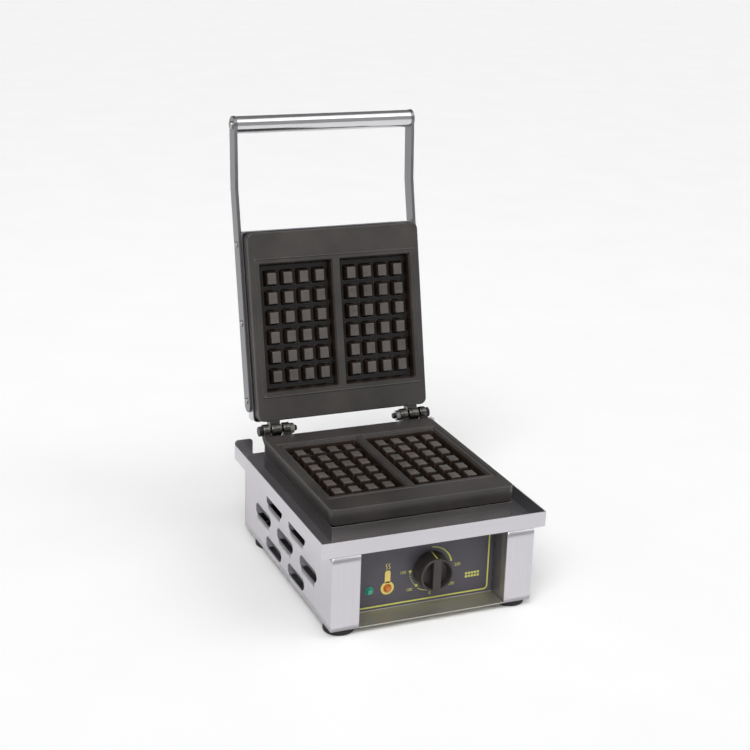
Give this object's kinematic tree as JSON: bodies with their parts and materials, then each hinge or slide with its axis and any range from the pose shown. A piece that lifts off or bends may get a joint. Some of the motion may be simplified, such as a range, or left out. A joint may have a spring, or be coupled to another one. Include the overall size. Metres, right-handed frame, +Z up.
{
  "type": "waffle maker",
  "caption": "Counter-top waffle maker with two rectangular waffle forms in cast plates, a hinged lid with a bar handle, a drip tray and a recessed control panel.",
  "frame": {"origin": "on the table, at the centre of the part's bounding box seen from above with the lid open", "axes": "+X to the operator's right, along the hinge; +Y to the back; +Z up"},
  "size_m": [0.305, 0.432, 0.5734],
  "materials": {
    "satin_stainless": "satin",
    "polished_stainless": "polished",
    "cast_iron_enamel": "semi-gloss",
    "cast_steel_ears": "satin",
    "black_plastic": "satin",
    "dial_label": "satin",
    "index_yellow": "matte",
    "green_lens": "gloss",
    "amber_lens": "gloss",
    "black_rubber": "matte",
    "black_steel": "satin",
    "zinc_steel": "satin",
    "element_sheath": "matte",
    "mineral_board": "matte",
    "copper": "satin",
    "ceramic_block": "matte",
    "grey_plastic": "matte"
  },
  "bodies": {
    "base": {"tray_pan": "satin_stainless", "left_side_panel": "satin_stainless", "right_side_panel": "satin_stainless", "panel_rivets": "zinc_steel", "control_panel": "satin_stainless", "control_label": "dial_label", "green_lamp": "green_lens", "amber_lamp": "amber_lens", "lamp_sockets": "grey_plastic", "thermostat": "grey_plastic", "capillary_bulb": "copper", "back_panel": "satin_stainless", "back_screws": "zinc_steel", "cable_gland": "black_plastic", "terminal_block": "ceramic_block", "bottom_plate": "satin_stainless", "rubber_feet": "black_rubber", "foot_screws": "zinc_steel", "plate_skirt": "satin_stainless", "plate_posts": "zinc_steel", "lower_plate": "cast_iron_enamel", "lower_hinge_ears": "cast_steel_ears", "lower_element": "element_sheath", "lower_clamp": "zinc_steel", "lower_insulation": "mineral_board", "hinge_bolts": "black_steel", "hinge_nuts": "zinc_steel"},
    "knob": {"knob": "black_plastic", "knob_pointer": "index_yellow", "thermostat_shaft": "zinc_steel"},
    "lid": {"upper_plate": "cast_iron_enamel", "upper_hinge_ears": "cast_steel_ears", "upper_element": "element_sheath", "upper_clamp": "zinc_steel", "upper_insulation": "mineral_board", "lid_cover": "satin_stainless", "cover_screws": "zinc_steel", "left_arm": "satin_stainless", "right_arm": "satin_stainless", "arm_screws": "zinc_steel", "handle_tube": "polished_stainless", "handle_plugs": "zinc_steel", "handle_screws": "zinc_steel"}
  },
  "joints": [
    {"name": "lid_hinge", "type": "hinge", "parent": "base", "child": "lid", "pos_m": [0, 0.09504, 0.158], "axis": [1, 0, 0], "range_deg": [0, 103]},
    {"name": "knob_turn", "type": "hinge", "parent": "base", "child": "knob", "pos_m": [0.01, -0.18, 0.057], "axis": [0, 1, 0], "range_deg": [-180, 135]}
  ]
}
